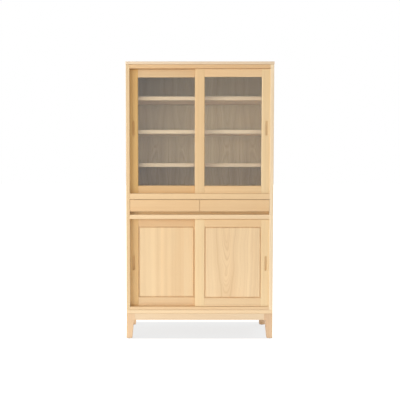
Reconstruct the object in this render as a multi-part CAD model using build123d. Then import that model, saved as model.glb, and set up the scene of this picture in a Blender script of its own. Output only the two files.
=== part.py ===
from build123d import *
import os

# Mizuya kitchen cabinet: a tall ash cupboard on a leg frame, with two sliding glass doors above,
# a pair of drawers over a finger gap, and two sliding panelled doors below.
# Millimetres. X runs to the right, Y from front to back, Z up. The origin is on the floor,
# in the middle of the cabinet's outline.

# --- carcass ---
body_width = 1000.0
body_depth = 430.0
side_thickness = 25.0
top_thickness = 20.0
top_overhang = 2.0
bottom_thickness = 28.0
floor_thickness = 18.0            # upper floor and drawer deck
shelf_thickness = 25.0
back_thickness = 8.0
back_rebate = 10.0                # how far the back panels lap over the sides
edge_ease = 1.2                   # small chamfer on visible arrises
soft_edge = 4.0                   # rounder outer arrises of top, sides and legs
top_line = 1.5                    # fine dark line under the top board
base_line = 1.0                   # the same above and below the bottom board
line_depth = 6.0                  # how far the lines run in from the front and the sides
board_tongue = 8.0                # tongues of the cross boards, seated in the sides
board_housing = 8.0
tongue_margin = 4.0
tongue_stop = 15.0                # tongues stop short of the boards' edges

# --- heights of the front, from the floor up ---
frame_height = 170.0              # floor to the bottom board
lower_bay = 623.0                 # bottom board to the rail under the drawers
lower_head_height = 30.0
finger_gap = 22.0                 # open slot under the drawer fronts
drawer_front_height = 80.0
drawer_gap = 2.5
upper_sill_height = 39.5
upper_bay = 843.0                 # upper sill to the head rail
upper_head_height = 25.0
lower_sill_height = 21.0          # stands on the bottom board, inside the lower bay

# --- sliding doors and their tracks ---
rail_setback = 1.0                # rails and drawer fronts behind the sides' front edges
door_setback = 10.0               # face of the front doors behind the sides' front edges
door_thickness = 20.0
door_gap = 4.0                    # between the front and the back doors
door_overlap = 64.0               # the two doors lap by this much in the middle
door_engagement = 9.0             # how far a closed door enters its side panel
closing_gap = 0.3                 # closed door to the end of its closing groove
closing_side_gap = 0.5
track_depth = 62.0                # sills and head rails, front to back
tongue_thickness = 8.0
tongue_gap = 0.3
tongue_drop = 3.0                 # bottom tongue, resting on the floor of its groove
shoulder_gap = 0.8                # door shoulder above the sill
lift_gap = 4.0                    # door shoulder below the head rail, so the door lifts out
tongue_reach = 5.0                # top tongue inside the head rail
head_groove_spare = 5.0
stile_width = 65.0
upper_top_rail = 52.0
upper_bottom_rail = 52.0
lower_top_rail = 49.0
lower_bottom_rail = 58.0
tenon_thickness = 8.0
tenon_length = 30.0
tenon_shoulder = 12.0
door_ease = 1.0

# --- glazing ---
glass_thickness = 4.0
glass_setback = 8.0               # face of the glass behind the face of the frame
glass_rebate = 8.0
glass_play = 1.0
sight_chamfer = 4.0               # bevel round the glass, on the frame's face
bead_width = 8.0

# --- lower door panels ---
panel_thickness = 13.0
panel_setback = 1.0
panel_groove = 8.0                # shadow groove between frame and panel field
panel_tongue = 4.0
panel_tongue_setback = 10.0
panel_housing = 8.0               # depth of the groove in the frame
panel_play = 1.0

# --- finger pulls ---
pull_width = 16.0
pull_length = 100.0
pull_depth = 11.0
upper_pull_rise = 442.0            # middle of the pull above the door's sill
lower_pull_rise = 298.0

# --- drawers ---
drawer_side_gap = 1.0             # drawer front to the side panel, and half the gap between fronts
drawer_front_thickness = 20.0
drawer_wall = 12.0
drawer_rear_room = 36.0           # box to the back panel
drawer_box_gap = 1.5
drawer_lip = 12.0                 # front hangs this far below the box
drawer_top_gap = 8.0              # box side below the front's top edge
drawer_bottom_thickness = 6.0
drawer_bottom_height = 8.0        # bottom panel above the box's lower edge
drawer_bottom_housing = 4.0
divider_thickness = 20.0
bearer_thickness = 18.0
bearer_clearance = 2.0
runner_width = 15.0
stop_length = 12.0
stop_height = 20.0

# --- shelves ---
upper_first_bay = 180.0           # clear height under the lowest shelf behind the glass
shelf_pitch = 229.0
upper_shelf_count = 3
lower_first_bay = 310.0
shelf_setback = 88.0
shelf_side_gap = 0.5
shelf_back_gap = 2.0
pin_radius = 2.5
pin_depth = 10.0
pin_reach = 9.0
pin_pad_width = 10.0
pin_pad_thickness = 5.0
pin_inset = 45.0                  # pin centre from the shelf's front and rear edges
fit_gap = 0.05                    # round pins and screws in their holes

# --- leg frame ---
leg_top = 58.0
leg_neck = 49.0                   # below the small cove under the apron
leg_foot = 38.0
apron_height = 42.0
apron_thickness = 20.0
apron_setback = 1.5
apron_tenon_thickness = 10.0
apron_tenon_length = 20.0
apron_tenon_shoulder = 6.0
glide_radius = 12.0
glide_thickness = 3.0
cleat_length = 70.0
cleat_width = 25.0
cleat_height = 30.0
cleat_spacing = 560.0

# --- screws ---
screw_radius = 2.0
screw_head_radius = 4.0
screw_head_height = 2.5
screw_bite = 16.0                 # into the wood that the screw holds to
cleat_screw_spacing = 40.0
back_screw_count = 4
back_screw_end = 60.0

# --- derived places ---
diagonal = 0.5 ** 0.5
front = -(body_depth + top_overhang) / 2 + top_overhang
back = front + body_depth
side_out = body_width / 2
side_in = side_out - side_thickness
back_face = back - back_thickness

floor_z = frame_height + bottom_thickness
lower_sill_top = floor_z + lower_sill_height
lower_head_under = floor_z + lower_bay
deck_top = lower_head_under + lower_head_height
drawer_under = deck_top + finger_gap
drawer_top = drawer_under + drawer_front_height
upper_sill_under = drawer_top + drawer_gap
upper_sill_top = upper_sill_under + upper_sill_height
upper_head_under = upper_sill_top + upper_bay
top_under = upper_head_under + upper_head_height
total_height = top_under + top_thickness
back_joint = upper_sill_top - floor_thickness / 2

front_track = front + door_setback
back_track = front_track + door_thickness + door_gap
door_outer = side_in + door_engagement
door_inner = -door_overlap / 2
track_back = front + rail_setback + track_depth
box_under = drawer_under + drawer_lip
box_top = drawer_top - drawer_top_gap
box_front = front + rail_setback + drawer_front_thickness
box_back = back_face - drawer_rear_room
bearer_front = track_back - bearer_thickness
lower_shelf_under = floor_z + lower_first_bay
shelf_front = front + shelf_setback
shelf_back = back_face - shelf_back_gap
apron_under = frame_height - apron_height


def block(x0, x1, y0, y1, z0, z1):
    """A straight block between two corners."""
    size = Box(abs(x1 - x0), abs(y1 - y0), abs(z1 - z0))
    return Pos((x0 + x1) / 2, (y0 + y1) / 2, (z0 + z1) / 2) * size


def front_edges(piece, axis):
    """The edges along an axis that lie on the piece's front face."""
    return piece.edges().filter_by(axis).group_by(Axis.Y)[0]


def eased(piece, axis, size=edge_ease):
    return chamfer(front_edges(piece, axis), size)


def bored(piece, x, y, z, radius, length, axis):
    """The piece with a round hole that starts at a point and runs along an axis."""
    return piece - rod(x, y, z, radius, length, axis)


def rod(x, y, z, radius, length, axis):
    """A round rod that starts at a point and runs along an axis."""
    plane = Plane(origin=(x, y, z), z_dir=axis)
    return extrude(plane * Circle(radius), length)


def cross_tongues():
    """Y and Z limits of the tongues at the ends of each cross board."""
    rail = (front + rail_setback + tongue_stop, track_back - tongue_stop)
    deck = (track_back + tongue_stop, back_face - tongue_stop)
    bearer = (bearer_front + tongue_margin, track_back - tongue_margin)
    drop = tongue_margin + board_tongue
    spans = {
        "upper_head_rail": (*rail, top_under - drop),
        "upper_sill": (*rail, upper_sill_under + tongue_margin),
        "upper_floor": (*deck, upper_sill_top - drop),
        "lower_head_rail": (*rail, deck_top - drop),
        "lower_sill": (*rail, floor_z + tongue_margin),
        "drawer_deck": (*deck, deck_top - drop),
        "drawer_bearer": (*bearer, deck_top + tongue_margin),
    }
    return {name: (y0, y1, z0, z0 + board_tongue) for name, (y0, y1, z0) in spans.items()}


def tongue_block(side, span):
    return block(side * side_in, side * (side_in + board_housing), *span)


def tongued(board, name):
    """A cross board with its tongues at both ends."""
    span = cross_tongues()[name]
    return board + tongue_block(-1, span) + tongue_block(1, span)


def side_end_tongues(side):
    """Tongues on a side panel's ends, seated in the bottom board and the top board."""
    margin = (side_thickness - board_tongue) / 2
    x0, x1 = side * (side_in + margin), side * (side_out - margin)
    y0, y1 = front + tongue_stop, back_face - tongue_stop
    return [block(x0, x1, y0, y1, floor_z - board_housing, floor_z),
            block(x0, x1, y0, y1, top_under, top_under + board_housing)]


def upper_shelf_unders():
    lowest = upper_sill_top + upper_first_bay
    return [lowest + index * shelf_pitch for index in range(upper_shelf_count)]


def pin_places():
    """Side, depth and height of each shelf pin's axis."""
    places = []
    for under in upper_shelf_unders() + [lower_shelf_under]:
        for side in (-1, 1):
            for depth in (shelf_front + pin_inset, shelf_back - pin_inset):
                places.append((side, depth, under - pin_pad_thickness / 2))
    return places


def back_screw_places():
    """Side and height of each screw along the edges of the two back panels."""
    places = []
    for low, high in ((floor_z, back_joint), (back_joint, top_under)):
        step = (high - low - 2 * back_screw_end) / (back_screw_count - 1)
        for index in range(back_screw_count):
            for side in (-1, 1):
                places.append((side, low + back_screw_end + index * step))
    return places


def cleat_screw_places():
    """X and Y of each screw that holds the leg frame to the bottom board."""
    places = []
    for x in (-cleat_spacing / 2, cleat_spacing / 2):
        for offset in (-cleat_screw_spacing / 2, cleat_screw_spacing / 2):
            for y in cleat_rows():
                places.append((x + offset, y))
    return places


def cleat_rows():
    inner = apron_setback + apron_thickness + cleat_width / 2
    return (front + inner, back - inner)


# --- carcass pieces ---
def dark_line(z, height):
    """What a fine line round the front and the sides takes out of a board, from z upwards."""
    over = side_out + top_overhang
    outer = block(-over, over, front - top_overhang, back, z, z + height)
    core = side_out - line_depth
    return outer - block(-core, core, front + line_depth, back, z, z + height)


def top_board():
    over = side_out + top_overhang
    board = block(-over, over, front - top_overhang, back, top_under, total_height)
    corners = board.edges().filter_by(Axis.Z).group_by(Axis.Y)[0]
    board = fillet(corners, soft_edge)
    rim = board.faces().sort_by(Axis.Z)[-1].edges()
    board = chamfer(rim, edge_ease)
    board -= dark_line(top_under, top_line)
    board = chamfer(front_edges(board, Axis.X).sort_by(Axis.Z)[0], edge_ease)
    for side in (-1, 1):
        board -= side_end_tongues(side)[1]
    return board


def bottom_board():
    board = block(-side_out, side_out, front, back, frame_height, floor_z)
    board = fillet(board.edges().filter_by(Axis.Z).group_by(Axis.Y)[0], soft_edge)
    for z in (frame_height, floor_z - base_line):
        board -= dark_line(z, base_line)
    board = eased(board, Axis.X)
    for x, y in cleat_screw_places():
        board = bored(board, x, y, frame_height, screw_radius + fit_gap, screw_bite, (0, 0, 1))
    for side in (-1, 1):
        board -= side_end_tongues(side)[0]
    return board


def side_panel(side):
    """A side panel, with closing grooves, housings, back rebate, pin holes and screw holes."""
    panel = block(side * side_in, side * side_out, front, back, floor_z, top_under)
    outer = panel.edges().filter_by(Axis.Z).group_by(Axis.Y)[0].sort_by(Axis.X)
    panel = fillet(outer[-1] if side > 0 else outer[0], soft_edge)
    inner = panel.edges().filter_by(Axis.Z).group_by(Axis.Y)[0].sort_by(Axis.X)
    panel = chamfer(inner[0] if side > 0 else inner[-1], edge_ease)
    track = front_track if side > 0 else back_track
    depth = door_engagement + closing_gap
    for sill_top, head_under in ((lower_sill_top, lower_head_under), (upper_sill_top, upper_head_under)):
        panel -= block(side * side_in, side * (side_in + depth),
                       track - closing_side_gap, track + door_thickness + closing_side_gap,
                       sill_top - tongue_drop, head_under + tongue_reach + head_groove_spare)
    panel -= block(side * side_in, side * (side_in + back_rebate), back_face, back, floor_z, top_under)
    for span in cross_tongues().values():
        panel -= tongue_block(side, span)
    for tongue in side_end_tongues(side):
        panel += tongue
    for pin_side, y, z in pin_places():
        if pin_side == side:
            panel = bored(panel, side * side_in, y, z, pin_radius + fit_gap, pin_depth, (side, 0, 0))
    for screw_side, z in back_screw_places():
        if screw_side == side:
            x = side * (side_in + back_rebate / 2)
            panel = bored(panel, x, back_face, z, screw_radius + fit_gap, screw_bite, (0, -1, 0))
    return panel


def track_grooves(length, z0, z1):
    """The two straight grooves that the door tongues run in."""
    half = tongue_thickness / 2 + tongue_gap
    grooves = []
    for track in (front_track, back_track):
        middle = track + door_thickness / 2
        grooves.append(block(-length, length, middle - half, middle + half, z0, z1))
    return grooves


def track_rail(name, z0, z1, groove_z0, groove_z1):
    """A sill or head rail between the sides, with both door grooves."""
    rail = block(-side_in, side_in, front + rail_setback, track_back, z0, z1)
    rail = eased(rail, Axis.X)
    for groove in track_grooves(side_in, groove_z0, groove_z1):
        rail -= groove
    return tongued(rail, name)


def upper_head_rail():
    depth = tongue_reach + head_groove_spare
    return track_rail("upper_head_rail", upper_head_under, top_under,
                      upper_head_under, upper_head_under + depth)


def upper_sill():
    return track_rail("upper_sill", upper_sill_under, upper_sill_top,
                      upper_sill_top - tongue_drop, upper_sill_top)


def lower_head_rail():
    depth = tongue_reach + head_groove_spare
    return track_rail("lower_head_rail", lower_head_under, deck_top,
                      lower_head_under, lower_head_under + depth)


def lower_sill():
    return track_rail("lower_sill", floor_z, lower_sill_top,
                      lower_sill_top - tongue_drop, lower_sill_top)


def upper_floor():
    board = block(-side_in, side_in, track_back, back_face,
                  upper_sill_top - floor_thickness, upper_sill_top)
    return tongued(board, "upper_floor")


def drawer_deck():
    board = block(-side_in, side_in, track_back, back_face, deck_top - floor_thickness, deck_top)
    return tongued(board, "drawer_deck")


def drawer_bearer():
    rail = block(-side_in, side_in, bearer_front, track_back, deck_top, box_under - bearer_clearance)
    return tongued(rail, "drawer_bearer")


def drawer_divider():
    """The upright between the drawers, from the deck to the upper floor."""
    half = divider_thickness / 2
    return block(-half, half, track_back, back_face, deck_top, upper_sill_top - floor_thickness)


def drawer_runners():
    """Four runners with an upstand at the rear that stops the drawer."""
    runners = []
    for x in (-side_in, -divider_thickness / 2 - runner_width,
              divider_thickness / 2, side_in - runner_width):
        runner = block(x, x + runner_width, track_back, box_back + stop_length, deck_top, box_under)
        runner += block(x, x + runner_width, box_back, box_back + stop_length,
                        deck_top, box_under + stop_height)
        runners.append(runner)
    return Compound(children=runners)


def back_panel(z0, z1):
    half = side_in + back_rebate
    panel = block(-half, half, back_face, back, z0, z1)
    for side, z in back_screw_places():
        if z0 < z < z1:
            x = side * (side_in + back_rebate / 2)
            panel = bored(panel, x, back, z, screw_radius + fit_gap, back_thickness, (0, -1, 0))
            panel = bored(panel, x, back, z, screw_head_radius + fit_gap, screw_head_height, (0, -1, 0))
    return panel


def shelf(under):
    half = side_in - shelf_side_gap
    board = block(-half, half, shelf_front, shelf_back, under, under + shelf_thickness)
    return eased(board, Axis.X)


def shelf_pins():
    """Pins in the side panels, each with a flat pad under its shelf."""
    pins = []
    for side, y, z in pin_places():
        shank = rod(side * (side_in + pin_depth), y, z, pin_radius, pin_depth, (-side, 0, 0))
        pad = block(side * side_in, side * (side_in - pin_reach), y - pin_pad_width / 2,
                    y + pin_pad_width / 2, z - pin_pad_thickness / 2, z + pin_pad_thickness / 2)
        pins.append(shank + pad)
    return Compound(children=pins)


# --- doors ---
def door_x(side, inset):
    """X of a point a given distance inside the door's outer edge."""
    return side * (door_outer - inset)


def door_heights(sill_top, head_under):
    """Shoulder heights of a door between a sill and a head rail."""
    return sill_top + shoulder_gap, head_under - lift_gap


def door_tongues(side, inset0, inset1, track, sill_top, head_under):
    """Bottom and top tongues over one stretch of the door's width."""
    low, high = door_heights(sill_top, head_under)
    middle = track + door_thickness / 2
    y0, y1 = middle - tongue_thickness / 2, middle + tongue_thickness / 2
    x0, x1 = door_x(side, inset0), door_x(side, inset1)
    return (block(x0, x1, y0, y1, sill_top - tongue_drop, low)
            + block(x0, x1, y0, y1, high, head_under + tongue_reach))


def door_tenon(side, inset, track, z0, z1):
    """A tenon on one end of a door rail: inset is where the stile's inner edge is."""
    middle = track + door_thickness / 2
    return block(door_x(side, inset[0]), door_x(side, inset[1]), middle - tenon_thickness / 2,
                 middle + tenon_thickness / 2, z0, z1)


def rail_tenons(side, track, z0, z1):
    """Tenons of one rail, reaching into both stiles."""
    width = door_outer - door_inner
    return [door_tenon(side, (stile_width - tenon_length, stile_width), track, z0, z1),
            door_tenon(side, (width - stile_width, width - stile_width + tenon_length), track, z0, z1)]


def rail_levels(door):
    """Heights of the bottom rail's top edge and the top rail's lower edge."""
    low, high = door_heights(door["sill_top"], door["head_under"])
    return low + door["bottom_rail"], high - door["top_rail"]


def tenon_levels(door):
    """Tenon heights in the bottom rail and in the top rail."""
    low, high = door_heights(door["sill_top"], door["head_under"])
    sight_low, sight_high = rail_levels(door)
    return ((low + tenon_shoulder / 2, sight_low - tenon_shoulder),
            (sight_high + tenon_shoulder, high - tenon_shoulder / 2))


def sight_block(door, grow, y0, y1):
    """The door's opening as a block, grown on all four edges."""
    low, high = rail_levels(door)
    width = door_outer - door_inner
    x0, x1 = door_x(door["side"], stile_width - grow), door_x(door["side"], width - stile_width + grow)
    return block(x0, x1, y0, y1, low - grow, high + grow)


def sight_bevel(door):
    """A tapered cutter that bevels the frame's face round the glass."""
    low, high = rail_levels(door)
    width = door_outer - door_inner
    x_mid = door_x(door["side"], width / 2)
    plane = Plane(origin=(x_mid, door["track"], (low + high) / 2), x_dir=(1, 0, 0), z_dir=(0, 1, 0))
    face = plane * Rectangle(width - 2 * stile_width + 2 * sight_chamfer,
                             high - low + 2 * sight_chamfer)
    return extrude(face, sight_chamfer, taper=45)


def frame_cutter(door):
    """What the glass or the panel takes out of the inner edges of the door frame."""
    track = door["track"]
    if door["glazed"]:
        rebate = sight_block(door, glass_rebate, track + glass_setback, track + door_thickness)
        return [rebate, sight_bevel(door)]
    y0 = track + panel_tongue_setback
    return [sight_block(door, panel_housing, y0, y0 + panel_tongue)]


def finger_pull(door):
    """A round-ended slot sunk into the face of the outer stile."""
    origin = (door_x(door["side"], stile_width / 2), door["track"], door["pull_height"])
    plane = Plane(origin=origin, x_dir=(0, 0, 1), z_dir=(0, 1, 0))
    return extrude(plane * SlotOverall(pull_length, pull_width), pull_depth)


def door_stile(door, inset0, inset1, has_pull):
    """A stile with its tongues, mortises and glass rebate or panel groove."""
    side, track = door["side"], door["track"]
    low, high = door_heights(door["sill_top"], door["head_under"])
    stile = block(door_x(side, inset0), door_x(side, inset1), track, track + door_thickness, low, high)
    stile = eased(stile, Axis.Z, door_ease)
    for cutter in frame_cutter(door):
        stile -= cutter
    for z0, z1 in tenon_levels(door):
        for tenon in rail_tenons(side, track, z0, z1):
            stile -= tenon
    if has_pull:
        stile -= finger_pull(door)
    return stile + door_tongues(side, inset0, inset1, track, door["sill_top"], door["head_under"])


def door_rail(door, is_top):
    """A rail between the stiles, with its tenons."""
    side, track = door["side"], door["track"]
    width = door_outer - door_inner
    low, high = door_heights(door["sill_top"], door["head_under"])
    sight_low, sight_high = rail_levels(door)
    z0, z1 = (sight_high, high) if is_top else (low, sight_low)
    x0, x1 = door_x(side, stile_width), door_x(side, width - stile_width)
    rail = block(x0, x1, track, track + door_thickness, z0, z1)
    for cutter in frame_cutter(door):
        rail -= cutter
    middle = track + door_thickness / 2
    y0, y1 = middle - tongue_thickness / 2, middle + tongue_thickness / 2
    if is_top:
        rail += block(x0, x1, y0, y1, high, door["head_under"] + tongue_reach)
    else:
        rail += block(x0, x1, y0, y1, door["sill_top"] - tongue_drop, low)
    tenon_z = tenon_levels(door)[1 if is_top else 0]
    for tenon in rail_tenons(side, track, *tenon_z):
        rail += tenon
    return rail


def door_glass(door):
    y0 = door["track"] + glass_setback
    return sight_block(door, glass_rebate - glass_play, y0, y0 + glass_thickness)


def door_beads(door):
    """Four strips that hold the glass in its rebate from behind."""
    y0 = door["track"] + glass_setback + glass_thickness
    y1 = door["track"] + door_thickness
    ring = sight_block(door, glass_rebate, y0, y1) - sight_block(door, glass_rebate - bead_width, y0, y1)
    low, high = rail_levels(door)
    strips = []
    for z0, z1 in ((low - glass_rebate, low - glass_rebate + bead_width),
                   (low - glass_rebate + bead_width, high + glass_rebate - bead_width),
                   (high + glass_rebate - bead_width, high + glass_rebate)):
        slab = block(-body_width, body_width, y0, y1, z0, z1)
        strips.extend((ring & slab).solids())
    return Compound(children=strips)


def door_panel(door):
    """A raised panel: its field stands inside a shadow groove and its tongue sits in the frame."""
    y0 = door["track"] + panel_setback
    field = sight_block(door, -panel_groove, y0, y0 + panel_thickness)
    field = chamfer(field.faces().sort_by(Axis.Y)[0].edges(), door_ease)
    tongue_y = door["track"] + panel_tongue_setback
    tongue = sight_block(door, panel_housing - panel_play, tongue_y, tongue_y + panel_tongue)
    return field + tongue


def door_parts(name, door):
    """All pieces of one sliding door."""
    width = door_outer - door_inner
    pieces = {
        name + "_outer_stile": door_stile(door, 0, stile_width, True),
        name + "_meeting_stile": door_stile(door, width - stile_width, width, False),
        name + "_top_rail": door_rail(door, True),
        name + "_bottom_rail": door_rail(door, False),
    }
    if door["glazed"]:
        pieces[name + "_glass"] = door_glass(door)
        pieces[name + "_beads"] = door_beads(door)
    else:
        pieces[name + "_panel"] = door_panel(door)
    return pieces


def door_layout():
    """The four doors: left ones in the back track, right ones in the front track."""
    doors = {}
    for side, word, track in ((-1, "left", back_track), (1, "right", front_track)):
        doors["upper_" + word + "_door"] = {
            "side": side, "track": track, "glazed": True, "pull_height": upper_sill_top + upper_pull_rise,
            "sill_top": upper_sill_top, "head_under": upper_head_under,
            "bottom_rail": upper_bottom_rail, "top_rail": upper_top_rail}
        doors["lower_" + word + "_door"] = {
            "side": side, "track": track, "glazed": False, "pull_height": lower_sill_top + lower_pull_rise,
            "sill_top": lower_sill_top, "head_under": lower_head_under,
            "bottom_rail": lower_bottom_rail, "top_rail": lower_top_rail}
    return doors


# --- drawers ---
def drawer_box_x():
    """Inner and outer X of a drawer box on the positive side."""
    return divider_thickness / 2 + drawer_box_gap, side_in - drawer_box_gap


def drawer_bottom_block(side, grow):
    """The drawer's bottom panel, grown into its grooves."""
    inner, outer = drawer_box_x()
    z0 = box_under + drawer_bottom_height
    return block(side * (inner + drawer_wall - grow), side * (outer - drawer_wall + grow),
                 box_front - grow, box_back - drawer_wall + grow, z0, z0 + drawer_bottom_thickness)


def drawer_front(side):
    x0, x1 = drawer_side_gap, side_in - drawer_side_gap
    board = block(side * x0, side * x1, front + rail_setback, box_front, drawer_under, drawer_top)
    board = chamfer(board.faces().sort_by(Axis.Y)[0].edges(), edge_ease)
    return board - drawer_bottom_block(side, drawer_bottom_housing)


def drawer_sides(side):
    inner, outer = drawer_box_x()
    walls = []
    for x0, x1 in ((inner, inner + drawer_wall), (outer - drawer_wall, outer)):
        wall = block(side * x0, side * x1, box_front, box_back, box_under, box_top)
        walls.append(wall - drawer_bottom_block(side, drawer_bottom_housing))
    return Compound(children=walls)


def drawer_back(side):
    inner, outer = drawer_box_x()
    wall = block(side * (inner + drawer_wall), side * (outer - drawer_wall),
                 box_back - drawer_wall, box_back, box_under, box_top)
    return wall - drawer_bottom_block(side, drawer_bottom_housing)


def drawer_parts(name, side):
    return {
        name + "_front": drawer_front(side),
        name + "_sides": drawer_sides(side),
        name + "_back": drawer_back(side),
        name + "_bottom": drawer_bottom_block(side, drawer_bottom_housing),
    }


# --- leg frame ---
def leg_profile(plane, outer, inward, reach):
    """A leg's outline seen along one axis: straight outside, coved and tapered inside."""
    foot, neck, top = (outer + inward * width for width in (leg_foot, leg_neck, leg_top))
    cove = leg_top - leg_neck
    neck_height = apron_under - cove
    cove_middle = (top - inward * cove * diagonal, neck_height + cove * diagonal)
    outline = Polyline((neck, neck_height), (foot, glide_thickness), (outer, glide_thickness),
                       (outer, frame_height), (top, frame_height), (top, apron_under))
    outline += ThreePointArc((top, apron_under), cove_middle, (neck, neck_height))
    return extrude(plane * make_face(outline), reach, both=True)


def apron_cutters():
    """The tenons of all aprons, as blocks that reach into the legs."""
    x_in, z0 = side_out - leg_top, apron_under + apron_tenon_shoulder
    cutters = []
    margin = apron_setback + (apron_thickness - apron_tenon_thickness) / 2
    for side in (-1, 1):
        x0, x1 = side * x_in, side * (x_in + apron_tenon_length)
        cutters.append(block(x0, x1, front + margin, front + margin + apron_tenon_thickness,
                             z0, frame_height))
        cutters.append(block(x0, x1, back - margin, back - margin - apron_tenon_thickness,
                             z0, frame_height))
        x0, x1 = side * (side_out - margin), side * (side_out - margin - apron_tenon_thickness)
        cutters.append(block(x0, x1, front + leg_top - apron_tenon_length, front + leg_top,
                             z0, frame_height))
        cutters.append(block(x0, x1, back - leg_top, back - leg_top + apron_tenon_length,
                             z0, frame_height))
    return cutters


def outwardness(edge, side, inward_y):
    middle = edge.center()
    return side * middle.X - inward_y * middle.Y


def leg(side, end):
    """A leg at one corner: side is -1 or 1 along X, end is the front or back plane."""
    inward_y = 1 if end == front else -1
    along_x = leg_profile(Plane.XZ, side * side_out, -side, body_depth)
    along_y = leg_profile(Plane.YZ, end, inward_y, body_width)
    post = along_x & along_y
    corner = post.edges().filter_by(Axis.Z).sort_by(lambda edge: outwardness(edge, side, inward_y))
    post = fillet(corner[-1], soft_edge)
    for cutter in apron_cutters():
        post -= cutter
    return post


def long_apron(end):
    """The front or rear apron, with a tenon at each end."""
    inward = 1 if end == front else -1
    x_in = side_out - leg_top
    y0 = end + inward * apron_setback
    y1 = y0 + inward * apron_thickness
    apron = block(-x_in, x_in, y0, y1, apron_under, frame_height)
    if inward > 0:
        apron = chamfer(front_edges(apron, Axis.X).sort_by(Axis.Z)[0], edge_ease)
    tenon_y = y0 + inward * (apron_thickness - apron_tenon_thickness) / 2
    for side in (-1, 1):
        apron += block(side * x_in, side * (x_in + apron_tenon_length), tenon_y,
                       tenon_y + inward * apron_tenon_thickness,
                       apron_under + apron_tenon_shoulder, frame_height)
    return apron


def side_aprons():
    """Left and right aprons between the front and rear legs."""
    aprons = []
    for side in (-1, 1):
        x0 = side * (side_out - apron_setback)
        x1 = x0 - side * apron_thickness
        apron = block(x0, x1, front + leg_top, back - leg_top, apron_under, frame_height)
        tenon_x = x0 - side * (apron_thickness - apron_tenon_thickness) / 2
        apron += block(tenon_x, tenon_x - side * apron_tenon_thickness,
                       front + leg_top - apron_tenon_length, back - leg_top + apron_tenon_length,
                       apron_under + apron_tenon_shoulder, frame_height)
        aprons.append(apron)
    return Compound(children=aprons)


def frame_cleats():
    """Blocks glued inside the long aprons, screwed up into the bottom board."""
    cleats = []
    for x in (-cleat_spacing / 2, cleat_spacing / 2):
        for y in cleat_rows():
            cleat = block(x - cleat_length / 2, x + cleat_length / 2, y - cleat_width / 2,
                          y + cleat_width / 2, frame_height - cleat_height, frame_height)
            for screw_x, screw_y in cleat_screw_places():
                if abs(screw_x - x) < cleat_length / 2 and screw_y == y:
                    cleat = bored(cleat, screw_x, screw_y, frame_height - cleat_height,
                                  screw_radius + fit_gap, cleat_height, (0, 0, 1))
            cleats.append(cleat)
    return Compound(children=cleats)


def screw(x, y, z, length, axis):
    """A screw that starts at the outer face of its head and runs along an axis."""
    return (rod(x, y, z, screw_head_radius, screw_head_height, axis)
            + rod(x, y, z, screw_radius, length, axis))


def screws():
    """Screws of the back panels and of the leg frame's cleats."""
    pieces = []
    for side, z in back_screw_places():
        x = side * (side_in + back_rebate / 2)
        pieces.append(screw(x, back, z, back_thickness + screw_bite, (0, -1, 0)))
    for x, y in cleat_screw_places():
        under = frame_height - cleat_height - screw_head_height
        length = screw_head_height + cleat_height + screw_bite
        pieces.append(screw(x, y, under, length, (0, 0, 1)))
    return Compound(children=pieces)


def foot_glides():
    glides = []
    for side in (-1, 1):
        for end, inward in ((front, 1), (back, -1)):
            x = side * (side_out - leg_foot / 2)
            glides.append(rod(x, end + inward * leg_foot / 2, 0, glide_radius, glide_thickness, (0, 0, 1)))
    return Compound(children=glides)


def carcass_parts():
    pieces = {
        "top_board": top_board(),
        "bottom_board": bottom_board(),
        "left_side_panel": side_panel(-1),
        "right_side_panel": side_panel(1),
        "upper_head_rail": upper_head_rail(),
        "upper_sill": upper_sill(),
        "upper_floor": upper_floor(),
        "lower_head_rail": lower_head_rail(),
        "lower_sill": lower_sill(),
        "drawer_deck": drawer_deck(),
        "drawer_bearer": drawer_bearer(),
        "drawer_divider": drawer_divider(),
        "drawer_runners": drawer_runners(),
        "upper_back_panel": back_panel(back_joint, top_under),
        "lower_back_panel": back_panel(floor_z, back_joint),
        "lower_shelf": shelf(lower_shelf_under),
        "shelf_pins": shelf_pins(),
    }
    for index, under in enumerate(upper_shelf_unders()):
        pieces["upper_shelf_" + str(index + 1)] = shelf(under)
    return pieces


def frame_parts():
    pieces = {
        "front_apron": long_apron(front),
        "rear_apron": long_apron(back),
        "side_aprons": side_aprons(),
        "frame_cleats": frame_cleats(),
        "screws": screws(),
        "foot_glides": foot_glides(),
    }
    for side, side_word in ((-1, "left"), (1, "right")):
        for end, end_word in ((front, "front"), (back, "rear")):
            pieces[end_word + "_" + side_word + "_leg"] = leg(side, end)
    return pieces


def main():
    os.makedirs("parts", exist_ok=True)
    pieces = {**carcass_parts(), **frame_parts()}
    for name, door in door_layout().items():
        pieces.update(door_parts(name, door))
    for side, word in ((-1, "left"), (1, "right")):
        pieces.update(drawer_parts(word + "_drawer", side))
    for name, shape in pieces.items():
        export_step(shape, "parts/" + name + ".step")
    print(len(pieces), "parts")


main()
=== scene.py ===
import math
import random

import bpy
from mathutils import Matrix, Vector


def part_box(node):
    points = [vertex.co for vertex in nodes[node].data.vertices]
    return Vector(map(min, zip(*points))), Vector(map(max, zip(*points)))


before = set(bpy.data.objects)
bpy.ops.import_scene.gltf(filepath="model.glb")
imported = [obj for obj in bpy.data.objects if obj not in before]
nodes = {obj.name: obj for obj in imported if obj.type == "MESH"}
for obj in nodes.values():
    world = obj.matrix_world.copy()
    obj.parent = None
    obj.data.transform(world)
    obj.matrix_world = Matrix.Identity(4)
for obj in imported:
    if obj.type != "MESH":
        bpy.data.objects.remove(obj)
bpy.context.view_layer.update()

bpy.ops.object.select_all(action="DESELECT")


def srgb(red, green, blue):
    # screen values from 0 to 255, as the linear colour that a shader takes
    channels = []
    for value in (red, green, blue):
        share = value / 255
        channels.append(share / 12.92 if share <= 0.04045 else ((share + 0.055) / 1.055) ** 2.4)
    return (*channels, 1.0)


def grey(level):
    return (level, level, level, 1.0)


def addNode(tree, kind, **settings):
    node = tree.nodes.new(kind)
    for name, value in settings.items():
        setattr(node, name, value)
    return node


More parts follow.
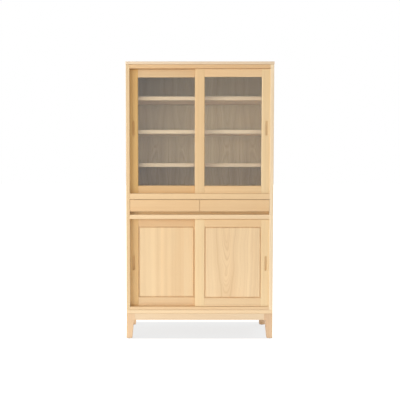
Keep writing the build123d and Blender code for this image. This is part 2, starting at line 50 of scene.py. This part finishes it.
def link(tree, source, target):
    tree.links.new(source, target)


def mathNode(tree, operation, first, second=None, clamp=False):
    # one Math node; each input is a socket or a number
    node = addNode(tree, "ShaderNodeMath", operation=operation, use_clamp=clamp)
    for index, value in enumerate((first, second)):
        if value is None:
            continue
        if isinstance(value, (int, float)):
            node.inputs[index].default_value = value
        else:
            link(tree, value, node.inputs[index])
    return node.outputs[0]


def invert(tree, value):
    return mathNode(tree, "SUBTRACT", 1.0, value)


def smoothStep(tree, value, low, high):
    node = addNode(tree, "ShaderNodeMapRange", interpolation_type="SMOOTHSTEP")
    link(tree, value, node.inputs["Value"])
    node.inputs["From Min"].default_value = low
    node.inputs["From Max"].default_value = high
    return node.outputs["Result"]


def vectorNode(tree, operation, first, second=None):
    # one Vector Math node; the second input is a socket or three numbers
    node = addNode(tree, "ShaderNodeVectorMath", operation=operation)
    link(tree, first, node.inputs[0])
    if isinstance(second, tuple):
        node.inputs[1].default_value = second
    elif second is not None:
        link(tree, second, node.inputs[1])
    return node.outputs["Value" if operation == "LENGTH" else "Vector"]


def splitVector(tree, vector):
    node = addNode(tree, "ShaderNodeSeparateXYZ")
    link(tree, vector, node.inputs[0])
    return node.outputs


def noiseNode(tree, source, settings, dimensions="3D"):
    # settings: scale, detail and roughness
    node = addNode(tree, "ShaderNodeTexNoise", noise_dimensions=dimensions)
    for name, value in zip(("Scale", "Detail", "Roughness"), settings):
        node.inputs[name].default_value = value
    link(tree, source, node.inputs["W" if dimensions == "1D" else "Vector"])
    return node


def mixColor(tree, factor, first, second, blend="MIX"):
    node = addNode(tree, "ShaderNodeMix", data_type="RGBA", blend_type=blend)
    # inputs 0, 6 and 7 are the factor and the two colours
    for index, value in ((0, factor), (6, first), (7, second)):
        if isinstance(value, (int, float, tuple)):
            node.inputs[index].default_value = value
        else:
            link(tree, value, node.inputs[index])
    return node.outputs[2]


def joinShaders(tree, kind, *sockets):
    # a Mix Shader or an Add Shader, its inputs in their order
    node = addNode(tree, kind)
    for index, socket in enumerate(sockets):
        link(tree, socket, node.inputs[index])
    return node.outputs[0]


def objectVector(tree):
    return addNode(tree, "ShaderNodeTexCoord").outputs["Object"]


def addBump(tree, height, strength, distance, shader):
    bump = addNode(tree, "ShaderNodeBump")
    bump.inputs["Strength"].default_value = strength
    bump.inputs["Distance"].default_value = distance
    link(tree, height, bump.inputs["Height"])
    link(tree, bump.outputs["Normal"], shader.inputs["Normal"])


def newMaterial(name):
    material = bpy.data.materials.new(name)
    material.use_nodes = True
    return material, material.node_tree, material.node_tree.nodes["Principled BSDF"]


def dress(piece, material):
    piece.data.materials.clear()
    piece.data.materials.append(material)


# the grain that every wooden piece shares; scales per metre, noises as scale, detail and roughness
grain = {
    "leafShift": 7.0,                        # how far along the log the next stave comes from
    "warpAcross": 7.0,                       # slow wander of the rings
    "warpNoise": (1.0, 2.0, 0.5),
    "spacingNoise": (45.0, 1.0, 0.5),        # how quickly the ring spacing changes
    "spacingSpread": 3.0,                    # and by how many rings
    "ringRise": (0.3, 0.85),                 # part of a ring over which the wood darkens
    "ringFall": (0.85, 1.0),                 # and over which it turns pale again
    "yearNoise": (0.8, 1.0, 0.5),            # how strong one ring is against the next
    "yearLimits": (0.25, 0.7),
    "bandNoise": (1.0, 2.0, 0.55),           # broad paler and darker growth
    "fibreScale": (620.0, 620.0, 11.0),      # across, through and along the board
    "fibreNoise": (1.0, 3.0, 0.6),
    "poreScale": (1500.0, 1500.0, 110.0),
    "poreNoise": (1.0, 1.0, 0.5),
    "poreLimits": (0.58, 0.7),
    "patchScale": (6.0, 6.0, 1.1),
    "patchNoise": (1.0, 2.0, 0.55),
    "blushLimits": (0.35, 0.65),             # where the warmer patches begin and end
    "ringMean": 0.2,
    "noiseMean": 0.5,
    "meanDark": 0.35,
    "paleTint": (1.075, 1.10, 1.13, 1.0),
    "darkTint": (0.86, 0.81, 0.76, 1.0),
    "blushTint": (1.0, 0.965, 0.93, 1.0),
    "roughness": 0.36,
    "fibreRoughness": 0.12,
    "ringRoughness": -0.05,
    "fibreHeight": 0.4,                      # against 1 for a pore's depth
}


def cutLeaves(group, want):
    # staves or veneer leaves side by side, each from its own place in the log
    apart = splitVector(group, want["Vector"])
    turns = mathNode(group, "DIVIDE", apart["X"], want["Leaf Width"])
    index = mathNode(group, "ROUND", turns)
    inLeaf = mathNode(group, "MULTIPLY", mathNode(group, "SUBTRACT", turns, index), want["Leaf Width"])
    odd = mathNode(group, "PINGPONG", index, 1.0)
    doubled = mathNode(group, "MULTIPLY", want["Leaf Mirror"], 2.0)
    flip = invert(group, mathNode(group, "MULTIPLY", odd, doubled))
    dice = addNode(group, "ShaderNodeTexWhiteNoise", noise_dimensions="1D")
    link(group, index, dice.inputs["W"])
    lots = splitVector(group, dice.outputs["Color"])
    own = invert(group, want["Leaf Mirror"])
    leftRight = mathNode(group, "SUBTRACT", lots["X"], grain["noiseMean"])
    aside = mathNode(group, "MULTIPLY", leftRight, want["Leaf Spread"])
    along = mathNode(group, "MULTIPLY", mathNode(group, "MULTIPLY", index, own), grain["leafShift"])
    local = addNode(group, "ShaderNodeCombineXYZ")
    link(group, mathNode(group, "ADD", mathNode(group, "MULTIPLY", inLeaf, flip), aside), local.inputs["X"])
    link(group, apart["Y"], local.inputs["Y"])
    link(group, mathNode(group, "ADD", apart["Z"], along), local.inputs["Z"])
    turned = addNode(group, "ShaderNodeVectorRotate", rotation_type="EULER_XYZ")
    link(group, local.outputs[0], turned.inputs["Vector"])
    link(group, want["Tilt"], turned.inputs["Rotation"])
    return vectorNode(group, "ADD", turned.outputs[0], want["Pith"]), lots["Y"]


def growRings(group, want, vector):
    # distance from the pith, bent by a slow noise and unevenly spaced
    stretch = addNode(group, "ShaderNodeCombineXYZ")
    for axis in "XY":
        stretch.inputs[axis].default_value = grain["warpAcross"]
    link(group, want["Wave Along"], stretch.inputs["Z"])
    slow = noiseNode(group, vectorNode(group, "MULTIPLY", vector, stretch.outputs[0]), grain["warpNoise"])
    distance = vectorNode(group, "LENGTH", vectorNode(group, "MULTIPLY", vector, (1.0, 1.0, 0.0)))
    bend = mathNode(group, "SUBTRACT", slow.outputs["Fac"], grain["noiseMean"])
    radius = mathNode(group, "ADD", distance, mathNode(group, "MULTIPLY", bend, want["Wander"]))
    uneven = noiseNode(group, radius, grain["spacingNoise"], "1D")
    phase = mathNode(group, "ADD", mathNode(group, "DIVIDE", radius, want["Ring Width"]),
                     mathNode(group, "MULTIPLY", uneven.outputs["Fac"], grain["spacingSpread"]))
    share = mathNode(group, "FRACT", phase)
    rise = smoothStep(group, share, *grain["ringRise"])
    fall = invert(group, smoothStep(group, share, *grain["ringFall"]))
    yearly = noiseNode(group, phase, grain["yearNoise"], "1D")
    ring = mathNode(group, "MULTIPLY", mathNode(group, "MULTIPLY", rise, fall),
                    smoothStep(group, yearly.outputs["Fac"], *grain["yearLimits"]))
    return ring, radius


def makeGrainGroup():
    # Vector: metres from the board's middle, x across, y through it, z along the fibres
    group = bpy.data.node_groups.new("ashGrain", "ShaderNodeTree")
    face = group.interface
    for name in ("Vector", "Pith", "Tilt"):
        face.new_socket(name, in_out="INPUT", socket_type="NodeSocketVector")
    for name in ("Leaf Width", "Leaf Mirror", "Leaf Spread", "Leaf Tone",
                 "Ring Width", "Wander", "Wave Along", "Band Scale",
                 "Ring Strength", "Band Strength", "Fibre Strength", "Patch Strength"):
        face.new_socket(name, in_out="INPUT", socket_type="NodeSocketFloat")
    face.new_socket("Tone", in_out="INPUT", socket_type="NodeSocketColor")
    face.new_socket("Color", in_out="OUTPUT", socket_type="NodeSocketColor")
    face.new_socket("Roughness", in_out="OUTPUT", socket_type="NodeSocketFloat")
    face.new_socket("Height", in_out="OUTPUT", socket_type="NodeSocketFloat")
    want = addNode(group, "NodeGroupInput").outputs

    vector, leafLot = cutLeaves(group, want)
    ring, radius = growRings(group, want, vector)
    bandPlace = mathNode(group, "MULTIPLY", radius, want["Band Scale"])
    bands = noiseNode(group, bandPlace, grain["bandNoise"], "1D")
    # fibres, pores and patches are long and run along the board
    fibre, pores, patch = (
        noiseNode(group, vectorNode(group, "MULTIPLY", vector, grain[kind + "Scale"]), grain[kind + "Noise"])
        for kind in ("fibre", "pore", "patch"))
    fibreShare = fibre.outputs["Fac"]
    spots = smoothStep(group, pores.outputs["Fac"], *grain["poreLimits"])
    poreShare = mathNode(group, "MULTIPLY", spots, ring)
    patches = splitVector(group, patch.outputs["Color"])

    # darkness: the wood's mean, and each effect about a mean of its own
    darkness = grain["meanDark"]
    for value, middle, strength in ((ring, grain["ringMean"], want["Ring Strength"]),
                                    (bands.outputs["Fac"], grain["noiseMean"], want["Band Strength"]),
                                    (fibreShare, grain["noiseMean"], want["Fibre Strength"]),
                                    (patches["X"], grain["noiseMean"], want["Patch Strength"]),
                                    (leafLot, grain["noiseMean"], want["Leaf Tone"]),
                                    (poreShare, 0.0, want["Ring Strength"])):
        part = mathNode(group, "MULTIPLY", mathNode(group, "SUBTRACT", value, middle), strength)
        darkness = mathNode(group, "ADD", part, darkness)
    clamped = mathNode(group, "ADD", darkness, 0.0, clamp=True)
    tint = mixColor(group, clamped, grain["paleTint"], grain["darkTint"])
    warm = smoothStep(group, patches["Z"], *grain["blushLimits"])
    blush = mixColor(group, warm, grey(1.0), grain["blushTint"])
    tinted = mixColor(group, 1.0, want["Tone"], tint, "MULTIPLY")
    color = mixColor(group, 1.0, tinted, blush, "MULTIPLY")

    ringSheen = mathNode(group, "MULTIPLY", ring, grain["ringRoughness"])
    fibreSheen = mathNode(group, "MULTIPLY", fibreShare, grain["fibreRoughness"])
    roughness = mathNode(group, "ADD", ringSheen, mathNode(group, "ADD", fibreSheen, grain["roughness"]))
    ridges = mathNode(group, "MULTIPLY", fibreShare, grain["fibreHeight"])
    height = mathNode(group, "SUBTRACT", ridges, poreShare)

    out = addNode(group, "NodeGroupOutput")
    link(group, color, out.inputs["Color"])
    link(group, roughness, out.inputs["Roughness"])
    link(group, height, out.inputs["Height"])
    return group


grainGroup = makeGrainGroup()
print("grain group made")

# how a plain board is cut from its log: lengths in metres, strengths about 1
plainLook = {
    "Leaf Width": 20.0,          # wider than any board, which is then one leaf
    "Leaf Mirror": 0.0,          # 1 lays the leaves in mirrored pairs
    "Leaf Spread": 0.0,
    "Leaf Tone": 0.0,
    "Ring Width": 0.0032,
    "Wander": 0.02,              # how far the rings bend
    "Wave Along": 1.5,           # and how often, per metre
    "Band Scale": 22.0,
    "Ring Strength": 0.45,
    "Band Strength": 0.8,
    "Fibre Strength": 0.5,
    "Patch Strength": 0.5,
    "pith": (0.33, 0.06),        # from the pith to the board's middle, across and through
    "tilt": 0.01,                # most that a board leans to the log, or its two angles
    "along": 9.0,                # farthest that its place along the log is drawn
    "shift": 0.0,                # of the figure, sideways
    "centred": False,            # the figure starts at the cabinet's middle
    "seed": None,                # its own only where two pieces share a board
}
looks = {
    "straight": {},
    "frame": {"pith": (0.28, 0.05)},
    "edge": {"pith": (0.2, 0.12)},
    "drawerFronts": {"pith": (0.2, 0.12), "centred": True, "seed": "drawer fronts"},
    "staves": {"Leaf Width": 0.0872, "Leaf Spread": 0.5, "Leaf Tone": 0.3, "Ring Width": 0.0036,
               "pith": (0.05, 0.09), "tilt": 0.02},
    "plainPanel": {"Leaf Width": 0.16, "Leaf Spread": 0.25, "Leaf Tone": 0.2, "Band Scale": 10.0,
                   "Band Strength": 1.9, "Fibre Strength": 0.35, "pith": (0.4, 0.09), "shift": 0.04},
    "figuredPanel": {"Ring Width": 0.0052, "Wander": 0.05, "Wave Along": 3.0, "Ring Strength": 0.5,
                     "Band Strength": 2.2, "Fibre Strength": 0.35, "pith": (0.040, 0.05),
                     "tilt": (0.09, 0.0)},
    "back": {"Leaf Width": 0.263, "Leaf Mirror": 1.0, "Ring Width": 0.0075, "Wander": 0.07, "Wave Along": 4.0,
             "Ring Strength": 1.6, "Band Strength": 3.4, "Patch Strength": 1.4,
             "pith": (0.0315, 0.035), "tilt": (0.07, 0.0), "shift": -0.085, "centred": True},
}

# words in a node's name, of which the first that fit count: the look, the axes along and across the fibres,
# and the tone on screen; on the left doors and the side panels the tone also holds painted light and shade
boards = {
    "top_board": ("staves", "xy", (232, 213, 186)),
    "bottom_board": ("staves", "xy", (234, 207, 167)),
    # the two side panels are one wood; their tones differ partly by board and partly as painted light and
    # shade: the left darker where the side lamps fall strongest, the right paler and cooler
    "left_side_panel": ("staves", "zy", (222, 195, 154)),
    "right_side_panel": ("staves", "zy", (240, 220, 187)),
    "upper_head_rail": ("edge", "xz", (222, 185, 138)),
    "upper_sill": ("edge", "xz", (229, 197, 152)),
    "lower_head_rail": ("edge", "xz", (236, 209, 169)),
    "lower_sill": ("edge", "xz", (225, 193, 150)),
    "upper_floor": ("staves", "xy", (232, 196, 148)),
    "drawer_deck": ("staves", "xy", (232, 196, 148)),
    "drawer_bearer": ("edge", "xz", (243, 211, 158)),
    "drawer_divider": ("straight", "yz", (228, 192, 146)),
    "drawer_runners": ("straight", "yz", (222, 186, 140)),
    "back_panel": ("back", "zx", (193, 171, 131)),
    "upper_shelf": ("staves", "xy", (226, 195, 158)),
    "lower_shelf": ("staves", "xy", (236, 204, 160)),
    "side_aprons": ("edge", "yz", (220, 194, 155)),
    "apron": ("edge", "xz", (224, 200, 166)),
    "frame_cleats": ("straight", "xz", (222, 186, 140)),
    "left_leg": ("edge", "zx", (223, 191, 153)),
    "right_leg": ("edge", "zx", (214, 183, 148)),
    # the left doors run in the deeper back track; their tones are darker than the right doors' as painted
    # shade of that recess, and the outer stile's is darker and warmer still as painted shade cast by the side
    # panel beside it
    "upper_left_door_outer_stile": ("frame", "zx", (220, 181, 116)),
    "upper_left_door_top_rail": ("frame", "xz", (217, 186, 143)),
    "upper_left_door_bottom_rail": ("frame", "xz", (224, 187, 136)),
    "upper_right_door_meeting_stile": ("frame", "zx", (228, 196, 149)),
    "upper_right_door_outer_stile": ("frame", "zx", (232, 207, 163)),
    "upper_right_door_top_rail": ("frame", "xz", (232, 199, 154)),
    "upper_right_door_bottom_rail": ("frame", "xz", (233, 200, 153)),
    # painted shade of the deeper recess again: the lower left door's outer stile and top rail are darker than
    # the right door's
    "lower_left_door_outer_stile": ("frame", "zx", (222, 186, 130)),
    "lower_left_door_top_rail": ("frame", "xz", (221, 187, 142)),
    "lower_left_door_bottom_rail": ("frame", "xz", (229, 198, 155)),
    "lower_right_door_meeting_stile": ("frame", "zx", (235, 208, 163)),
    "lower_right_door_outer_stile": ("frame", "zx", (233, 206, 161)),
    "lower_right_door_top_rail": ("frame", "xz", (230, 197, 151)),
    "lower_right_door_bottom_rail": ("frame", "xz", (228, 198, 155)),
    "stile": ("frame", "zx", (234, 200, 152)),
    "_beads": ("straight", "zx", (228, 194, 148)),
    "left_door_panel": ("plainPanel", "zx", (230, 201, 158)),
    "right_door_panel": ("figuredPanel", "zx", (233, 204, 162)),
    "drawer_front": ("drawerFronts", "xz", (228, 194, 148)),
    "drawer_sides": ("straight", "yz", (226, 190, 144)),
    "drawer_back": ("straight", "xz", (226, 190, 144)),
    "drawer_bottom": ("staves", "yx", (228, 194, 150)),
}
directions = {"x": Vector((1.0, 0.0, 0.0)), "y": Vector((0.0, 1.0, 0.0)), "z": Vector((0.0, 0.0, 1.0))}
clearFinish = {"bumpStrength": 0.25, "bumpDistance": 0.0003, "ior": 1.47}


def woodMaterial(name, axes, centre, look, tone):
    # one board's wood, from its own place in the log, so that no two boards repeat
    material, tree, shader = newMaterial(name)
    mapping = addNode(tree, "ShaderNodeMapping")
    link(tree, objectVector(tree), mapping.inputs["Vector"])
    along, across = directions[axes[0]], directions[axes[1]]
    turn = Matrix((across, along.cross(across), along))
    mapping.inputs["Rotation"].default_value = turn.to_euler()
    mapping.inputs["Location"].default_value = -(turn @ centre) - Vector((look["shift"], 0.0, 0.0))
    wood = addNode(tree, "ShaderNodeGroup", node_tree=grainGroup)
    link(tree, mapping.outputs["Vector"], wood.inputs["Vector"])
    dice = random.Random(look["seed"] or name)
    wood.inputs["Pith"].default_value = (*look["pith"], dice.uniform(-look["along"], look["along"]))
    tilt = look["tilt"]
    if isinstance(tilt, float):
        tilt = (dice.uniform(-tilt, tilt), dice.uniform(-tilt, tilt))
    wood.inputs["Tilt"].default_value = (*tilt, 0.0)
    for socket in wood.inputs:
        if socket.name in look:
            socket.default_value = look[socket.name]
    wood.inputs["Tone"].default_value = srgb(*tone)
    link(tree, wood.outputs["Color"], shader.inputs["Base Color"])
    link(tree, wood.outputs["Roughness"], shader.inputs["Roughness"])
    addBump(tree, wood.outputs["Height"], clearFinish["bumpStrength"], clearFinish["bumpDistance"], shader)
    shader.inputs["IOR"].default_value = clearFinish["ior"]
    return material


def dressWood():
    for name, piece in nodes.items():
        words = next((words for words in boards if words in name), None)
        if words is None:
            continue
        look, axes, tone = boards[words]
        settings = {**plainLook, **looks[look]}
        low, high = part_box(name)
        centre = (low + high) / 2
        if settings["centred"]:
            centre.x = 0.0
        dress(piece, woodMaterial(name + "_wood", axes, centre, settings, tone))
    print("wood laid on the boards")


glass = {
    "tint": (0.90, 0.93, 0.93, 1.0),
    "shadowTint": (0.85, 0.87, 0.86, 1.0),   # what a pane lets through of a lamp's light
    "roughness": 0.02,
    "ior": 1.5,
}


def glassMaterial():
    material, tree, shader = newMaterial("clearGlass")
    shader.inputs["Base Color"].default_value = glass["tint"]
    shader.inputs["Roughness"].default_value = glass["roughness"]
    shader.inputs["IOR"].default_value = glass["ior"]
    shader.inputs["Transmission Weight"].default_value = 1.0
    # lamps shine through the pane, so the shelves behind it are lit
    clear = addNode(tree, "ShaderNodeBsdfTransparent")
    clear.inputs["Color"].default_value = glass["shadowTint"]
    path = addNode(tree, "ShaderNodeLightPath")
    pane = joinShaders(tree, "ShaderNodeMixShader", path.outputs["Is Shadow Ray"],
                       shader.outputs["BSDF"], clear.outputs["BSDF"])
    link(tree, pane, tree.nodes["Material Output"].inputs["Surface"])
    return material


steel = {
    "spots": (400.0, 3.0, 0.6),
    "dark": (176, 174, 166),
    "pale": (206, 204, 198),
    "roughness": 0.25,
    "spotRoughness": 0.25,
}


def steelMaterial():
    material, tree, shader = newMaterial("zincSteel")
    spots = noiseNode(tree, objectVector(tree), steel["spots"])
    color = mixColor(tree, spots.outputs["Fac"], srgb(*steel["dark"]), srgb(*steel["pale"]))
    link(tree, color, shader.inputs["Base Color"])
    dull = mathNode(tree, "MULTIPLY", spots.outputs["Fac"], steel["spotRoughness"])
    link(tree, mathNode(tree, "ADD", dull, steel["roughness"]), shader.inputs["Roughness"])
    shader.inputs["Metallic"].default_value = 1.0
    return material


felt = {
    "fluff": (1500.0, 3.0, 0.7),
    "dark": (96, 78, 60),
    "pale": (140, 118, 94),
    "roughness": 0.95,
    "bumpStrength": 0.5,
    "bumpDistance": 0.0004,
}


def feltMaterial():
    material, tree, shader = newMaterial("brownFelt")
    fluff = noiseNode(tree, objectVector(tree), felt["fluff"])
    color = mixColor(tree, fluff.outputs["Fac"], srgb(*felt["dark"]), srgb(*felt["pale"]))
    link(tree, color, shader.inputs["Base Color"])
    shader.inputs["Roughness"].default_value = felt["roughness"]
    addBump(tree, fluff.outputs["Fac"], felt["bumpStrength"], felt["bumpDistance"], shader)
    return material


def dressRest():
    rest = {"_glass": glassMaterial(), "screws": steelMaterial(), "foot_glides": feltMaterial()}
    rest["shelf_pins"] = rest["screws"]
    for name, piece in nodes.items():
        for ending, material in rest.items():
            if name.endswith(ending):
                dress(piece, material)
    print("glass, metal and felt done")


dressWood()
dressRest()

floorLook = {
    "size": 80.0,
    "diffuse": grey(0.66),                   # to the camera
    "glow": grey(0.86),
    "farGlow": grey(1.0),
    "far": (1.5, 4.0),                       # distances over which it turns white
    # painted shadow: beneath and just behind the cabinet the floor is darker and glows less, in a soft-edged
    # rectangle
    "paintedShadowDiffuse": (0.10, 0.11, 0.12, 1.0),
    "paintedShadowGlow": grey(0.775),
    "paintedShadowLow": (-0.52, -0.24),              # corners of the painted shadow on the floor under and behind the cabinet
    "paintedShadowHigh": (0.52, 0.36),
    "paintedShadowFade": (0.03, 0.03, 0.12),         # at the sides, in front and behind
    "bounce": (0.92, 0.91, 0.90, 1.0),       # to the cabinet
    "paintedBounceGlow": (0.48, 0.54, 0.62, 1.0),    # painted light: the floor close by glows onto the cabinet, standing in for the light a bright floor throws back
    "sweep": (0.5, 1.7),
}


def edgeMask(tree, value, low, high, lowFade, highFade):
    # 1 between two limits, falling to 0 inside each of them
    rise = smoothStep(tree, value, low, low + lowFade)
    fall = invert(tree, smoothStep(tree, value, high - highFade, high))
    return mathNode(tree, "MULTIPLY", rise, fall)


def glowingShader(tree, diffuseColor, glowColor):
    # matt and glowing at once; each colour is a socket or four numbers
    diffuse = addNode(tree, "ShaderNodeBsdfDiffuse")
    glow = addNode(tree, "ShaderNodeEmission")
    for node, color in ((diffuse, diffuseColor), (glow, glowColor)):
        if isinstance(color, tuple):
            node.inputs["Color"].default_value = color
        else:
            link(tree, color, node.inputs["Color"])
    return joinShaders(tree, "ShaderNodeAddShader", diffuse.outputs["BSDF"], glow.outputs["Emission"])


def makeFloor():
    bpy.ops.mesh.primitive_plane_add(size=floorLook["size"], location=(0.0, 0.0, 0.0))
    floor = bpy.context.active_object
    floor.name = "floor"
    material, tree, shader = newMaterial("paleFloor")
    tree.nodes.remove(shader)
    place = objectVector(tree)
    spot = splitVector(tree, place)
    # the painted shadow's rectangle, with soft edges at the sides, in front and behind
    (left, near), (right, behind) = floorLook["paintedShadowLow"], floorLook["paintedShadowHigh"]
    sideFade, nearFade, behindFade = floorLook["paintedShadowFade"]
    paintedShadow = mathNode(tree, "MULTIPLY", edgeMask(tree, spot["X"], left, right, sideFade, sideFade),
                     edgeMask(tree, spot["Y"], near, behind, nearFade, behindFade))
    distance = vectorNode(tree, "LENGTH", place)
    far = smoothStep(tree, distance, *floorLook["far"])
    bright = mixColor(tree, far, floorLook["glow"], floorLook["farGlow"])
    seen = glowingShader(tree, mixColor(tree, paintedShadow, floorLook["diffuse"], floorLook["paintedShadowDiffuse"]),
                         mixColor(tree, paintedShadow, bright, floorLook["paintedShadowGlow"]))
    # the cabinet is lit by a matt floor and by a painted glow from the floor close by, though not from
    # beneath it
    close = invert(tree, smoothStep(tree, distance, *floorLook["sweep"]))
    lit = mathNode(tree, "MULTIPLY", close, invert(tree, paintedShadow))
    sweep = mixColor(tree, lit, grey(0.0), floorLook["paintedBounceGlow"])
    bounce = glowingShader(tree, floorLook["bounce"], sweep)
    path = addNode(tree, "ShaderNodeLightPath")
    both = joinShaders(tree, "ShaderNodeMixShader", path.outputs["Is Camera Ray"], bounce, seen)
    link(tree, both, tree.nodes["Material Output"].inputs["Surface"])
    floor.data.materials.append(material)


studio = {
    "light": srgb(255, 250, 244),
    "strength": 0.5,
    "shown": grey(1.0),      # to the camera, and in glass and metal
}


def makeWorld():
    world = bpy.data.worlds.new("studio")
    bpy.context.scene.world = world
    world.use_nodes = True
    tree = world.node_tree
    ambient = tree.nodes["Background"]
    ambient.inputs["Color"].default_value = studio["light"]
    ambient.inputs["Strength"].default_value = studio["strength"]
    shown = addNode(tree, "ShaderNodeBackground")
    shown.inputs["Color"].default_value = studio["shown"]
    path = addNode(tree, "ShaderNodeLightPath")
    seen = mathNode(tree, "MAXIMUM", path.outputs["Is Camera Ray"], path.outputs["Is Glossy Ray"])
    seen = mathNode(tree, "MAXIMUM", seen, path.outputs["Is Transmission Ray"])
    both = joinShaders(tree, "ShaderNodeMixShader", seen, ambient.outputs["Background"],
                       shown.outputs["Background"])
    link(tree, both, tree.nodes["World Output"].inputs["Surface"])


# square boxes, except where a height is given
lamps = [
    {"name": "sideBox", "place": (-3.6, -3.2, 1.5), "aim": (0.0, 0.0, 0.9), "size": 3.0,
     "power": 105.0, "color": (1.0, 0.985, 0.96)},
    {"name": "rimBox", "place": (-3.8, -0.8, 1.3), "aim": (0.0, 0.0, 1.1), "size": 1.6,
     "power": 25.0, "color": (1.0, 0.99, 0.97)},
    {"name": "farBox", "place": (3.4, 2.6, 3.6), "aim": (0.1, 0.1, 1.1), "size": 3.0,
     "power": 110.0, "color": (1.0, 0.99, 0.975)},
    {"name": "frontWall", "place": (0.2, -5.2, 1.9), "aim": (0.1, 0.0, 1.3), "size": 4.0,
     "power": 17.5, "color": (0.96, 1.0, 1.05)},
    # a wide warm band just behind the camera, mirrored by the panes in their two middle bays
    {"name": "frontBand", "place": (0.0, -5.0, 1.7), "aim": (0.0, 0.0, 1.7), "size": 3.5, "height": 0.95,
     "power": 6.5, "color": (1.0, 0.78, 0.52)},
]


def makeLamps():
    for lamp in lamps:
        data = bpy.data.lights.new(lamp["name"], "AREA")
        data.size = lamp["size"]
        if "height" in lamp:
            data.shape = "RECTANGLE"
            data.size_y = lamp["height"]
        data.energy = lamp["power"]
        data.color = lamp["color"]
        piece = bpy.data.objects.new(lamp["name"], data)
        bpy.context.scene.collection.objects.link(piece)
        place, aim = Vector(lamp["place"]), Vector(lamp["aim"])
        piece.location = place
        piece.rotation_euler = (aim - place).to_track_quat("-Z", "Y").to_euler()


camera = {
    "place": (-0.160, -4.677, 1.172),
    "downTilt": 0.0495,
    "focalPixels": 658.3,
    "imageSize": 400,
    "axisPixel": (176.2, 200.0),     # where the lens axis meets the image
    "sensorWidth": 36.0,
}


def makeCamera():
    data = bpy.data.cameras.new("camera")
    data.sensor_width = camera["sensorWidth"]
    data.lens = camera["focalPixels"] * camera["sensorWidth"] / camera["imageSize"]
    half = camera["imageSize"] / 2
    data.shift_x = (half - camera["axisPixel"][0]) / camera["imageSize"]
    data.shift_y = (camera["axisPixel"][1] - half) / camera["imageSize"]
    piece = bpy.data.objects.new("camera", data)
    bpy.context.scene.collection.objects.link(piece)
    piece.location = camera["place"]
    piece.rotation_euler = (math.pi / 2 - camera["downTilt"], 0.0, 0.0)
    bpy.context.scene.camera = piece


makeFloor()
makeWorld()
makeLamps()
makeCamera()
bpy.context.scene.view_settings.view_transform = "Standard"
print("room, lamps and camera done")
